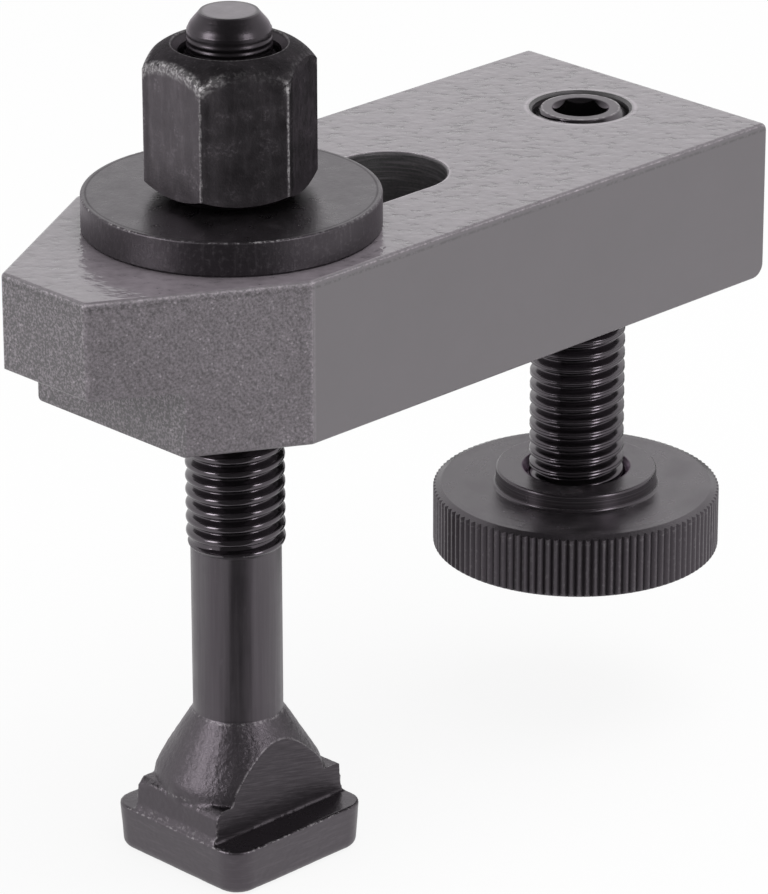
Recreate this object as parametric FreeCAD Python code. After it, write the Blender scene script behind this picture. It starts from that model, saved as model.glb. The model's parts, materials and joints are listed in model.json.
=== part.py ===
# Strap clamp for M12 bolts: a slotted steel bar on a T-slot bolt, clamped by a nut on a plate
# washer, and held level at its rear end by a screw that stands on a knurled foot.
# Units are millimetres. The T-slot bolt's axis is Z, and Z is 0 at the shoulder of its head,
# the face that bears on the lips of the T-slot. The bar's nose points to -X.
import FreeCAD, Part
import math
import os
from FreeCAD import Vector

# The thread that the bolt, the nut and the support screw share
THREAD_DIAMETER = 11.86
THREAD_FIT = 0.05

# T-slot bolt: lengths are counted from the head's shoulder, up the shank
BOLT_LENGTH = 100.0
BOLT_THREAD_LENGTH = 65.5
BOLT_STAND_OUT = 3.8
BOLT_TIP_DIAMETER = 6.8
BOLT_POINT_DIAMETER = 9.8
BOLT_POINT_LENGTH = 4.8
BOLT_POINT_LAND = 3.0
BOLT_POINT_ROUND = 2.2
THREAD_START_SLOPE = 45.0
SHANK_DIAMETER = 10.86
THREAD_RUN_OUT = 0.6
FLARE_TOP = 12.6
FLARE_DIAMETER = 20.4
FLARE_ANGLE = 31.8
FLARE_ROUND = 4.0
NECK_LENGTH = 20.8
NECK_WIDTH = 14.0
NECK_HEIGHT = 3.9
NECK_END_DRAFT = 6.5
NECK_END_ROUND = 0.4
NECK_ROOT_HEIGHT = 0.9
NECK_ROOT_REACH = 0.4
NECK_ROOT_ROUND = 1.2
HEAD_SIDE = 22.2
HEAD_BASE_SIDE = 21.6
HEAD_THICKNESS = 5.9
HEAD_CORNER_ROUND = 3.0
HEAD_BASE_ROUND = 1.1
HEAD_TOP_ROUND = 0.25

# Plate washer under the nut
WASHER_DIAMETER = 35.0
WASHER_THICKNESS = 4.2
WASHER_PLAY = 0.57
WASHER_EDGE_ROUND = 0.3

# Hexagon nut with a domed underside and a crowned top
NUT_ACROSS_FLATS = 17.8
NUT_HEIGHT = 18.0
NUT_CORNER_ROUND = 0.6
NUT_DOME_RADIUS = 17.0
NUT_SEAT_WIDTH = 0.4
NUT_CROWN_HEIGHT = 2.8
NUT_CROWN_SAG = 0.4
NUT_MOUTH_WIDTH = 0.85
NUT_MOUTH_DEPTH = 0.9
NUT_TURN = 27.2

# Clamp bar
BAR_LENGTH = 100.0
BAR_WIDTH = 40.0
BAR_HEIGHT = 20.0
NOSE_WIDTH = 14.0
NOSE_TAPER_ANGLE = 29.5
NOSE_RELIEF_LENGTH = 10.0
NOSE_RELIEF_HEIGHT = 8.1
NOSE_RELIEF_ROUND = 1.0
BAR_EDGE_ROUND = 0.5
BAR_REAR_TOP_ROUND = 1.0
BAR_REAR_BASE_ROUND = 1.8
SLOT_FROM_NOSE = 20.3
SLOT_PLAY = 1.07
SLOT_WEB = 26.2
SLOT_EDGE_BREAK = 0.35
BOLT_FROM_SLOT_END = 2.0
SCREW_FROM_REAR = 12.0
SCREW_HOLE_BREAK = 0.35

# Support screw, and the knurled foot that it is screwed into
FOOT_DROP = 27.6
SCREW_END_CHAMFER = 1.1
SOCKET_ACROSS_FLATS = 6.0
SOCKET_DEPTH = 8.0
SOCKET_TIP_ANGLE = 60.0
SOCKET_TURN = 15.0
FOOT_DIAMETER = 36.0
FOOT_HEIGHT = 8.0
FOOT_BEVEL_WIDTH = 1.0
FOOT_BEVEL_HEIGHT = 0.4
FOOT_BASE_ROUND = 0.4
COLLAR_DIAMETER = 20.2
COLLAR_HEIGHT = 2.3
COLLAR_FILLET = 0.5
COLLAR_EDGE_ROUND = 0.3
FOOT_FLOOR = 2.0
FOOT_SEAT_GAP = 0.1
FOOT_MOUTH_BREAK = 0.75
KNURL_PITCH = 1.01
KNURL_DEPTH = 0.38
KNURL_CREST = 0.22

# Sizes that follow from the ones above
THREAD_RADIUS = THREAD_DIAMETER / 2
TAPPED_RADIUS = THREAD_RADIUS + THREAD_FIT
WASHER_HOLE_RADIUS = THREAD_RADIUS + WASHER_PLAY
SLOT_RADIUS = THREAD_RADIUS + SLOT_PLAY

NUT_BASE_Z = BOLT_LENGTH - BOLT_STAND_OUT - NUT_HEIGHT
WASHER_BASE_Z = NUT_BASE_Z - WASHER_THICKNESS
BAR_BASE_Z = WASHER_BASE_Z - BAR_HEIGHT

NOSE_X = -(SLOT_FROM_NOSE + SLOT_RADIUS + BOLT_FROM_SLOT_END)
REAR_X = NOSE_X + BAR_LENGTH
SCREW_X = REAR_X - SCREW_FROM_REAR
SLOT_NOSE_END_X = NOSE_X + SLOT_FROM_NOSE
SLOT_REAR_END_X = SCREW_X - SLOT_WEB

COLLAR_TOP_Z = BAR_BASE_Z - FOOT_DROP
FOOT_TOP_Z = COLLAR_TOP_Z - COLLAR_HEIGHT
FOOT_BASE_Z = FOOT_TOP_Z - FOOT_HEIGHT
SCREW_BASE_Z = FOOT_BASE_Z + FOOT_FLOOR + FOOT_SEAT_GAP
SCREW_TOP_Z = BAR_BASE_Z + BAR_HEIGHT

UP = Vector(0, 0, 1)
# How far a cutter reaches past the face that it cuts
OVERCUT = 1.0
# How near a point lies to a face or an edge that it is on
NEAR = 1e-4
HEXAGON_SIDES = 6


def rounded_wire(corners):
    """A closed outline through corners (point, radius), each rounded by its own radius."""
    points = [point for point, radius in corners]
    count = len(points)
    starts = []
    ends = []
    middles = []
    for index, (corner, radius) in enumerate(corners):
        if radius <= 0:
            starts.append(corner)
            ends.append(corner)
            middles.append(None)
            continue
        back = (points[index - 1] - corner).normalize()
        ahead = (points[(index + 1) % count] - corner).normalize()
        half_angle = back.getAngle(ahead) / 2
        reach = radius / math.tan(half_angle)
        bisector = (back + ahead).normalize()
        starts.append(corner + back * reach)
        ends.append(corner + ahead * reach)
        middles.append(corner + bisector * (radius / math.sin(half_angle) - radius))
    edges = []
    for index in range(count):
        if middles[index] is not None:
            edges.append(Part.Arc(starts[index], middles[index], ends[index]).toShape())
        following = starts[(index + 1) % count]
        if ends[index].distanceToPoint(following) > NEAR:
            edges.append(Part.LineSegment(ends[index], following).toShape())
    return Part.Wire(edges)


def turned(corners):
    """A turned piece on the Z axis, from its half section: corners of (radius, height, round)."""
    outline = rounded_wire([(Vector(r, 0, z), rounding) for r, z, rounding in corners])
    return Part.Face(outline).revolve(Vector(0, 0, 0), UP, 360)


def plan_wire(corners, z):
    """A level outline at a height, from corners of (x, y, round)."""
    return rounded_wire([(Vector(x, y, z), rounding) for x, y, rounding in corners])


def extruded(corners, height, base_z=0.0):
    """A piece of constant plan section, from corners of (x, y, round)."""
    return Part.Face(plan_wire(corners, base_z)).extrude(UP * height)


def rectangle(length, width, rounding):
    """Corners of a rectangle centred on the Z axis."""
    x = length / 2
    y = width / 2
    return [(-x, -y, rounding), (x, -y, rounding), (x, y, rounding), (-x, y, rounding)]


def hexagon_radius(across_flats):
    """From a hexagon's centre to its corners."""
    return across_flats / 2 / math.cos(math.pi / HEXAGON_SIDES)


def hexagon(across_flats, rounding):
    """Corners of a hexagon centred on the Z axis, with a flat on each side of Y."""
    radius = hexagon_radius(across_flats)
    corners = []
    for step in range(HEXAGON_SIDES):
        angle = 2 * math.pi * step / HEXAGON_SIDES
        corners.append((radius * math.cos(angle), radius * math.sin(angle), rounding))
    return corners


def edges_where(shape, test):
    """The edges whose every sampled point passes the test."""
    chosen = []
    for edge in shape.Edges:
        first, last = edge.ParameterRange
        samples = [edge.valueAt(first + (last - first) * step / 4) for step in range(5)]
        if all(test(point) for point in samples):
            chosen.append(edge)
    return chosen


def make_tee_bolt():
    """Forged T-slot bolt: a square head plate, a neck that fits the slot, a flare and the shank."""
    shank_radius = SHANK_DIAMETER / 2
    flare_radius = FLARE_DIAMETER / 2
    flare_fall = (flare_radius - shank_radius) / math.tan(math.radians(FLARE_ANGLE))
    thread_base = BOLT_LENGTH - BOLT_THREAD_LENGTH
    point_radius = BOLT_POINT_DIAMETER / 2
    point_base = BOLT_LENGTH - BOLT_POINT_LENGTH
    thread_rise = (THREAD_RADIUS - point_radius) * math.tan(math.radians(THREAD_START_SLOPE))
    stem = turned([
        (0, 0, 0),
        (flare_radius, 0, 0),
        (flare_radius, FLARE_TOP - flare_fall, FLARE_ROUND),
        (shank_radius, FLARE_TOP, 0),
        (shank_radius, thread_base - THREAD_RUN_OUT, 0),
        (THREAD_RADIUS, thread_base, 0),
        (THREAD_RADIUS, point_base - thread_rise, 0),
        (point_radius, point_base, 0),
        (point_radius, point_base + BOLT_POINT_LAND, BOLT_POINT_ROUND),
        (BOLT_TIP_DIAMETER / 2, BOLT_LENGTH, 0),
        (0, BOLT_LENGTH, 0),
    ])
    slab = extruded(rectangle(FLARE_DIAMETER + OVERCUT, NECK_WIDTH, 0), BOLT_LENGTH + OVERCUT)
    return stem.common(slab).fuse([make_neck(), make_head_plate()]).removeSplitter()


def make_neck():
    """The block that fits the slot: flat sides, and forged ends that lean in above a hollow root."""
    root_x = NECK_LENGTH / 2
    toe_x = root_x + NECK_ROOT_REACH
    top_x = root_x - (NECK_HEIGHT - NECK_ROOT_HEIGHT) * math.tan(math.radians(NECK_END_DRAFT))
    side_y = -NECK_WIDTH / 2
    side_view = rounded_wire([
        (Vector(-toe_x, side_y, 0), 0),
        (Vector(toe_x, side_y, 0), 0),
        (Vector(root_x, side_y, NECK_ROOT_HEIGHT), NECK_ROOT_ROUND),
        (Vector(top_x, side_y, NECK_HEIGHT), NECK_END_ROUND),
        (Vector(-top_x, side_y, NECK_HEIGHT), NECK_END_ROUND),
        (Vector(-root_x, side_y, NECK_ROOT_HEIGHT), NECK_ROOT_ROUND),
    ])
    return Part.Face(side_view).extrude(Vector(0, NECK_WIDTH, 0))


def make_head_plate():
    """The head's square plate: drafted sides, round corners and a well-rounded base."""
    base = plan_wire(rectangle(HEAD_BASE_SIDE, HEAD_BASE_SIDE, HEAD_CORNER_ROUND), -HEAD_THICKNESS)
    top = plan_wire(rectangle(HEAD_SIDE, HEAD_SIDE, HEAD_CORNER_ROUND), 0)
    plate = Part.makeLoft([base, top], True, True)
    base_rim = edges_where(plate, lambda point: point.z < -HEAD_THICKNESS + NEAR)
    plate = plate.makeFillet(HEAD_BASE_ROUND, base_rim)
    top_rim = edges_where(plate, lambda point: point.z > -NEAR)
    return plate.makeFillet(HEAD_TOP_ROUND, top_rim)


def make_washer():
    """Plate washer, with its turned edges lightly broken."""
    inner = WASHER_HOLE_RADIUS
    outer = WASHER_DIAMETER / 2
    washer = turned([
        (inner, 0, WASHER_EDGE_ROUND),
        (outer, 0, WASHER_EDGE_ROUND),
        (outer, WASHER_THICKNESS, WASHER_EDGE_ROUND),
        (inner, WASHER_THICKNESS, WASHER_EDGE_ROUND),
    ])
    return washer.translated(UP * WASHER_BASE_Z)


def make_hex_nut():
    """Hexagon nut: a prism inside a turned envelope that gives the dome below and the crown."""
    corner_radius = hexagon_radius(NUT_ACROSS_FLATS)
    envelope_radius = corner_radius + OVERCUT
    seat_inner = WASHER_HOLE_RADIUS
    seat_outer = seat_inner + NUT_SEAT_WIDTH
    mouth_radius = TAPPED_RADIUS + NUT_MOUTH_WIDTH
    dome_centre = math.sqrt(NUT_DOME_RADIUS ** 2 - seat_outer ** 2)

    def dome_height(radius):
        return dome_centre - math.sqrt(NUT_DOME_RADIUS ** 2 - radius ** 2)

    seat_inside = Vector(seat_inner, 0, 0)
    seat_outside = Vector(seat_outer, 0, 0)
    middle_radius = (seat_outer + envelope_radius) / 2
    dome_middle = Vector(middle_radius, 0, dome_height(middle_radius))
    dome_end = Vector(envelope_radius, 0, dome_height(envelope_radius))
    shoulder_z = NUT_HEIGHT - NUT_CROWN_HEIGHT
    crown_start = Vector(corner_radius, 0, shoulder_z)
    crown_end = Vector(mouth_radius, 0, NUT_HEIGHT)
    crown_way = crown_end - crown_start
    crown_out = Vector(-crown_way.z, 0, crown_way.x).normalize() * -NUT_CROWN_SAG
    crown_middle = (crown_start + crown_end) * 0.5 + crown_out
    crown_skirt = Vector(envelope_radius, 0, shoulder_z)
    mouth_floor = Vector(TAPPED_RADIUS, 0, NUT_HEIGHT - NUT_MOUTH_DEPTH)
    bore_base = Vector(TAPPED_RADIUS, 0, seat_inner - TAPPED_RADIUS)
    section = Part.Wire([
        Part.LineSegment(seat_inside, seat_outside).toShape(),
        Part.Arc(seat_outside, dome_middle, dome_end).toShape(),
        Part.LineSegment(dome_end, crown_skirt).toShape(),
        Part.LineSegment(crown_skirt, crown_start).toShape(),
        Part.Arc(crown_start, crown_middle, crown_end).toShape(),
        Part.LineSegment(crown_end, mouth_floor).toShape(),
        Part.LineSegment(mouth_floor, bore_base).toShape(),
        Part.LineSegment(bore_base, seat_inside).toShape(),
    ])
    envelope = Part.Face(section).revolve(Vector(0, 0, 0), UP, 360)
    prism = extruded(hexagon(NUT_ACROSS_FLATS, NUT_CORNER_ROUND), NUT_HEIGHT + OVERCUT)
    nut = prism.common(envelope).rotated(Vector(0, 0, 0), UP, NUT_TURN)
    return nut.translated(UP * NUT_BASE_Z)


def make_clamp_bar():
    """Slotted bar: its side view and its plan crossed, then rounded, slotted and drilled."""
    taper_length = (BAR_WIDTH - NOSE_WIDTH) / 2 / math.tan(math.radians(NOSE_TAPER_ANGLE))
    step_x = NOSE_X + NOSE_RELIEF_LENGTH
    taper_end_x = NOSE_X + taper_length
    side_view = rounded_wire([
        (Vector(NOSE_X, -BAR_WIDTH / 2, BAR_HEIGHT), 0),
        (Vector(REAR_X, -BAR_WIDTH / 2, BAR_HEIGHT), BAR_REAR_TOP_ROUND),
        (Vector(REAR_X, -BAR_WIDTH / 2, 0), BAR_REAR_BASE_ROUND),
        (Vector(step_x, -BAR_WIDTH / 2, 0), 0),
        (Vector(step_x, -BAR_WIDTH / 2, NOSE_RELIEF_HEIGHT), NOSE_RELIEF_ROUND),
        (Vector(NOSE_X, -BAR_WIDTH / 2, NOSE_RELIEF_HEIGHT), 0),
    ])
    block = Part.Face(side_view).extrude(Vector(0, BAR_WIDTH, 0))
    plan = extruded([
        (NOSE_X, -NOSE_WIDTH / 2, 0),
        (taper_end_x, -BAR_WIDTH / 2, 0),
        (REAR_X, -BAR_WIDTH / 2, 0),
        (REAR_X, BAR_WIDTH / 2, 0),
        (taper_end_x, BAR_WIDTH / 2, 0),
        (NOSE_X, NOSE_WIDTH / 2, 0),
    ], BAR_HEIGHT)
    bar = block.common(plan)

    def is_rim(point):
        on_side = abs(abs(point.y) - side_half_width(point.x, taper_end_x)) < NEAR
        on_nose = abs(point.x - NOSE_X) < NEAR
        return (on_side or on_nose) and not near_relief_round(point, step_x)

    bar = bar.makeFillet(BAR_EDGE_ROUND, edges_where(bar, is_rim))

    bar = bar.cut(make_slot_cutter())
    bar = bar.makeFillet(SLOT_EDGE_BREAK, edges_where(bar, on_slot_rim))
    bar = bar.cut(make_screw_hole_cutter())
    return bar.translated(UP * BAR_BASE_Z)


def side_half_width(x, taper_end_x):
    """Half the bar's width at a place along it."""
    if x >= taper_end_x:
        return BAR_WIDTH / 2
    return NOSE_WIDTH / 2 + (x - NOSE_X) * math.tan(math.radians(NOSE_TAPER_ANGLE))


def near_relief_round(point, step_x):
    """Whether a point lies on the end of the fillet inside the nose's step."""
    inside_x = -NOSE_RELIEF_ROUND - NEAR < point.x - step_x < NEAR
    inside_z = -NOSE_RELIEF_ROUND - NEAR < point.z - NOSE_RELIEF_HEIGHT < NEAR
    return inside_x and inside_z


def make_slot_cutter():
    """The long slot's form: two half rounds joined by straight sides."""
    length = SLOT_REAR_END_X - SLOT_NOSE_END_X
    middle = (SLOT_REAR_END_X + SLOT_NOSE_END_X) / 2
    height = BAR_HEIGHT + 2 * OVERCUT
    straight = length - 2 * SLOT_RADIUS
    cutter = extruded(rectangle(straight, 2 * SLOT_RADIUS, 0), height, -OVERCUT)
    for side in (-1, 1):
        end = Part.makeCylinder(SLOT_RADIUS, height, Vector(side * straight / 2, 0, -OVERCUT))
        cutter = cutter.fuse(end)
    return cutter.removeSplitter().translated(Vector(middle, 0, 0))


def on_slot_rim(point):
    """Whether a point lies on the slot's outline in the bar's top or bottom face."""
    on_face = abs(point.z) < NEAR or abs(point.z - BAR_HEIGHT) < NEAR
    inside_x = SLOT_NOSE_END_X - NEAR < point.x < SLOT_REAR_END_X + NEAR
    inside_y = abs(point.y) < SLOT_RADIUS + NEAR
    return on_face and inside_x and inside_y


def make_screw_hole_cutter():
    """The tapped hole at the rear, with both of its mouths countersunk."""
    mouth = TAPPED_RADIUS + SCREW_HOLE_BREAK
    past = TAPPED_RADIUS + SCREW_HOLE_BREAK + OVERCUT
    cutter = turned([
        (0, -OVERCUT, 0),
        (past, -OVERCUT, 0),
        (mouth, 0, 0),
        (TAPPED_RADIUS, SCREW_HOLE_BREAK, 0),
        (TAPPED_RADIUS, BAR_HEIGHT - SCREW_HOLE_BREAK, 0),
        (mouth, BAR_HEIGHT, 0),
        (past, BAR_HEIGHT + OVERCUT, 0),
        (0, BAR_HEIGHT + OVERCUT, 0),
    ])
    return cutter.translated(Vector(SCREW_X, 0, 0))


def make_support_screw():
    """Headless screw with chamfered ends and a hexagon socket in its top."""
    chamfered = THREAD_RADIUS - SCREW_END_CHAMFER
    length = SCREW_TOP_Z - SCREW_BASE_Z
    body = turned([
        (0, 0, 0),
        (chamfered, 0, 0),
        (THREAD_RADIUS, SCREW_END_CHAMFER, 0),
        (THREAD_RADIUS, length - SCREW_END_CHAMFER, 0),
        (chamfered, length, 0),
        (0, length, 0),
    ])
    floor_z = length - SOCKET_DEPTH
    socket = extruded(hexagon(SOCKET_ACROSS_FLATS, 0), SOCKET_DEPTH + OVERCUT, floor_z)
    drill_radius = SOCKET_ACROSS_FLATS / 2
    tip_depth = drill_radius / math.tan(math.radians(SOCKET_TIP_ANGLE))
    drill_tip = Part.makeCone(0, drill_radius, tip_depth, Vector(0, 0, floor_z - tip_depth))
    screw = body.cut(socket.fuse(drill_tip)).rotated(Vector(0, 0, 0), UP, SOCKET_TURN)
    return screw.translated(Vector(SCREW_X, 0, SCREW_BASE_Z))


def make_knurl():
    """A toothed prism: straight flutes of V section round the whole rim."""
    outer = FOOT_DIAMETER / 2
    root = outer - KNURL_DEPTH
    count = round(math.pi * FOOT_DIAMETER / KNURL_PITCH)
    flute = 2 * math.pi / count
    half_crest = KNURL_CREST / FOOT_DIAMETER
    points = []
    for step in range(count):
        crest = step * flute
        tooth = ((outer, crest - half_crest), (outer, crest + half_crest), (root, crest + flute / 2))
        for radius, angle in tooth:
            points.append(Vector(radius * math.cos(angle), radius * math.sin(angle), 0))
    outline = Part.makePolygon(points + [points[0]])
    return Part.Face(outline).extrude(UP * (FOOT_HEIGHT + COLLAR_HEIGHT))


def make_knurled_foot():
    """Knurled disc with a collar, tapped from above for the screw and closed below."""
    collar_radius = COLLAR_DIAMETER / 2
    top = FOOT_HEIGHT + COLLAR_HEIGHT
    disc = turned([
        (0, 0, 0),
        (FOOT_DIAMETER / 2, 0, FOOT_BASE_ROUND),
        (FOOT_DIAMETER / 2, FOOT_HEIGHT - FOOT_BEVEL_HEIGHT, 0),
        (FOOT_DIAMETER / 2 - FOOT_BEVEL_WIDTH, FOOT_HEIGHT, 0),
        (collar_radius, FOOT_HEIGHT, COLLAR_FILLET),
        (collar_radius, top, COLLAR_EDGE_ROUND),
        (TAPPED_RADIUS + FOOT_MOUTH_BREAK, top, 0),
        (TAPPED_RADIUS, top - FOOT_MOUTH_BREAK, 0),
        (TAPPED_RADIUS, FOOT_FLOOR, 0),
        (0, FOOT_FLOOR, 0),
    ])
    foot = disc.common(make_knurl())
    return foot.translated(Vector(SCREW_X, 0, FOOT_BASE_Z))


PIECES = {
    "tee_bolt": make_tee_bolt,
    "washer": make_washer,
    "hex_nut": make_hex_nut,
    "clamp_bar": make_clamp_bar,
    "support_screw": make_support_screw,
    "knurled_foot": make_knurled_foot,
}


def main():
    """Make each piece and write it to its own file."""
    os.makedirs("parts", exist_ok=True)
    for name, make in PIECES.items():
        piece = make()
        if len(piece.Solids) == 1:
            piece = piece.Solids[0]
        piece.exportStep(os.path.join("parts", name + ".step"))
        box = piece.BoundBox
        print(
            f"{name}: valid {piece.isValid()}, volume {piece.Volume:.1f}, faces {len(piece.Faces)}, "
            f"x {box.XMin:.2f} to {box.XMax:.2f}, y {box.YMin:.2f} to {box.YMax:.2f}, "
            f"z {box.ZMin:.2f} to {box.ZMax:.2f}"
        )


main()
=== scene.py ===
"""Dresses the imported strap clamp: real threads, a forged head, and a finish for every piece."""
import json
import logging
import math
from contextlib import contextmanager
from dataclasses import dataclass
from enum import Enum
from functools import cached_property
from typing import Any, Callable, Iterator, Protocol, Union

import bpy
from mathutils import Matrix, Vector, noise

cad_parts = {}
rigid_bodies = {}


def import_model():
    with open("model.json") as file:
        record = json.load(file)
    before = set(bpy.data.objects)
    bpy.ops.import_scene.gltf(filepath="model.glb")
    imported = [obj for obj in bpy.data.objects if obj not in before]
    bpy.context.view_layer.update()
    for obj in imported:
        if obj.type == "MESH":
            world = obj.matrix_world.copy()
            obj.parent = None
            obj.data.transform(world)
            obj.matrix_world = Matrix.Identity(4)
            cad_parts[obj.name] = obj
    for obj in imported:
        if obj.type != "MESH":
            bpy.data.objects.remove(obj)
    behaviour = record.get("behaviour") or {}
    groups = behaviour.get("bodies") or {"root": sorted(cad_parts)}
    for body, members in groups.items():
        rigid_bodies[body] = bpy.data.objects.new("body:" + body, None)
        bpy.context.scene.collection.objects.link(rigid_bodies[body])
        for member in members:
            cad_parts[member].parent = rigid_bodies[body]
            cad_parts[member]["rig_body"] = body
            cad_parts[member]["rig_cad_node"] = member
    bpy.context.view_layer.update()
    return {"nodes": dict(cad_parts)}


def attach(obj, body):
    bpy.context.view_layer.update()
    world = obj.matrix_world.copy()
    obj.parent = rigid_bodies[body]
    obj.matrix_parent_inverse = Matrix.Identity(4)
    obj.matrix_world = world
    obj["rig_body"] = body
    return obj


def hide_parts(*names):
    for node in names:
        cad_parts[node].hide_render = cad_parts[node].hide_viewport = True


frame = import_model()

LOG = logging.getLogger("strap_clamp")
MM = 0.001
# Nearer than this, in metres, two vertices are one
WELD = 2e-6
# Nearer than this to a cut, in metres, a vertex lies on it
CUT_REACH = 1e-7
# How far apart, in millimetres, two rims are that get bridged
GAP = 0.1
# Edges that turn further than this are shaded as edges
SMOOTH_ANGLE = math.radians(42)
# Where the support screw's axis stands, in millimetres
SCREW_X = 58.7
UP = Vector((0, 0, 1))

Pair = tuple[float, float]
Triple = tuple[float, float, float]
Piece = bpy.types.Object
Material = bpy.types.Material
Socket = bpy.types.NodeSocket
Number = Union["Value", float]
Inputs = dict[Union[str, int], Any]


class Layers(Enum):
    """How many finer layers a noise has, and how strong they are."""

    SOFT = (2.5, 0.5)
    ROUGH = (4.0, 0.62)


class Keep(Enum):
    """What a level cut leaves of a piece."""

    ABOVE = "above"
    BELOW = "below"
    BOTH = "both"


class Value:
    """A number in a material: Python's operators on it add Math nodes."""

    def __init__(self, shader: "Shader", socket: Socket) -> None:
        """Wraps one output socket of a shader's tree."""
        self.shader = shader
        self.socket = socket

    def math(self, operation: str, other: Number | None = None, reflected: bool = False) -> "Value":
        """Adds one Math node.

        Args:
            operation: the node's operation.
            other: the other operand, if it has one.
            reflected: whether this value comes second.

        Returns:
            The node's result.
        """
        terms = [self] if other is None else [self, other]
        if reflected:
            terms.reverse()
        node = self.shader.node("ShaderNodeMath", dict(enumerate(terms)), operation=operation)
        return Value(self.shader, node.outputs[0])

    def __add__(self, other: Number) -> "Value":
        """Sum."""
        return self.math("ADD", other)

    __radd__ = __add__

    def __sub__(self, other: Number) -> "Value":
        """Difference."""
        return self.math("SUBTRACT", other)

    def __rsub__(self, other: Number) -> "Value":
        """Difference, with this value second."""
        return self.math("SUBTRACT", other, reflected=True)

    def __mul__(self, other: Number) -> "Value":
        """Product."""
        return self.math("MULTIPLY", other)

    __rmul__ = __mul__

    def __truediv__(self, other: Number) -> "Value":
        """Quotient."""
        return self.math("DIVIDE", other)

    def __abs__(self) -> "Value":
        """The value without its sign."""
        return self.math("ABSOLUTE")

    def smaller(self, other: Number) -> "Value":
        """The smaller of the two."""
        return self.math("MINIMUM", other)

    def larger(self, other: Number) -> "Value":
        """The larger of the two."""
        return self.math("MAXIMUM", other)

    def fade(self, start: float, end: float) -> "Value":
        """Rises smoothly from 0 at start to 1 at end, and falls where end is the smaller."""
        low, high, first, last = (start, end, 0.0, 1.0) if start < end else (end, start, 1.0, 0.0)
        inputs = {"Value": self, "From Min": low, "From Max": high, "To Min": first, "To Max": last}
        ramp = self.shader.node("ShaderNodeMapRange", inputs, interpolation_type="SMOOTHSTEP")
        return Value(self.shader, ramp.outputs[0])

    def near(self, centre: float, reach: float) -> "Value":
        """1 at the centre, falling smoothly to 0 at the reach to either side."""
        return abs(self - centre).fade(reach, 0.0)


def hypot(*terms: Value) -> Value:
    """The root of the sum of these values' squares."""
    first, *others = (term * term for term in terms)
    return sum(others, first).math("SQRT")


@dataclass(frozen=True)
class Place:
    """A point's place on a piece, in millimetres from a chosen centre."""

    vector: Socket
    x: Value
    y: Value
    z: Value

    def noise(self, size: float, layers: Layers = Layers.ROUGH) -> Value:
        """Noise about 0.5 that is read at this place, with lumps of a size in millimetres."""
        return self.x.shader.noise({"Vector": self.vector}, size, layers)

    def specks(self, spacing: float, size: float) -> Value:
        """Specks, 1 at their centres: their spacing in millimetres, and their reach as a share of it."""
        shader = self.x.shader
        inputs = {"Vector": self.vector, "Scale": 1.0 / spacing}
        cells = shader.node("ShaderNodeTexVoronoi", inputs, feature="F1")
        return Value(shader, cells.outputs["Distance"]).fade(size, size * 0.3)

    @property
    def radius(self) -> Value:
        """Distance from the upright axis through the centre."""
        return hypot(self.x, self.y)

    @property
    def angle(self) -> Value:
        """Angle round the upright axis, in radians."""
        return self.y.math("ARCTAN2", self.x)


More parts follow.
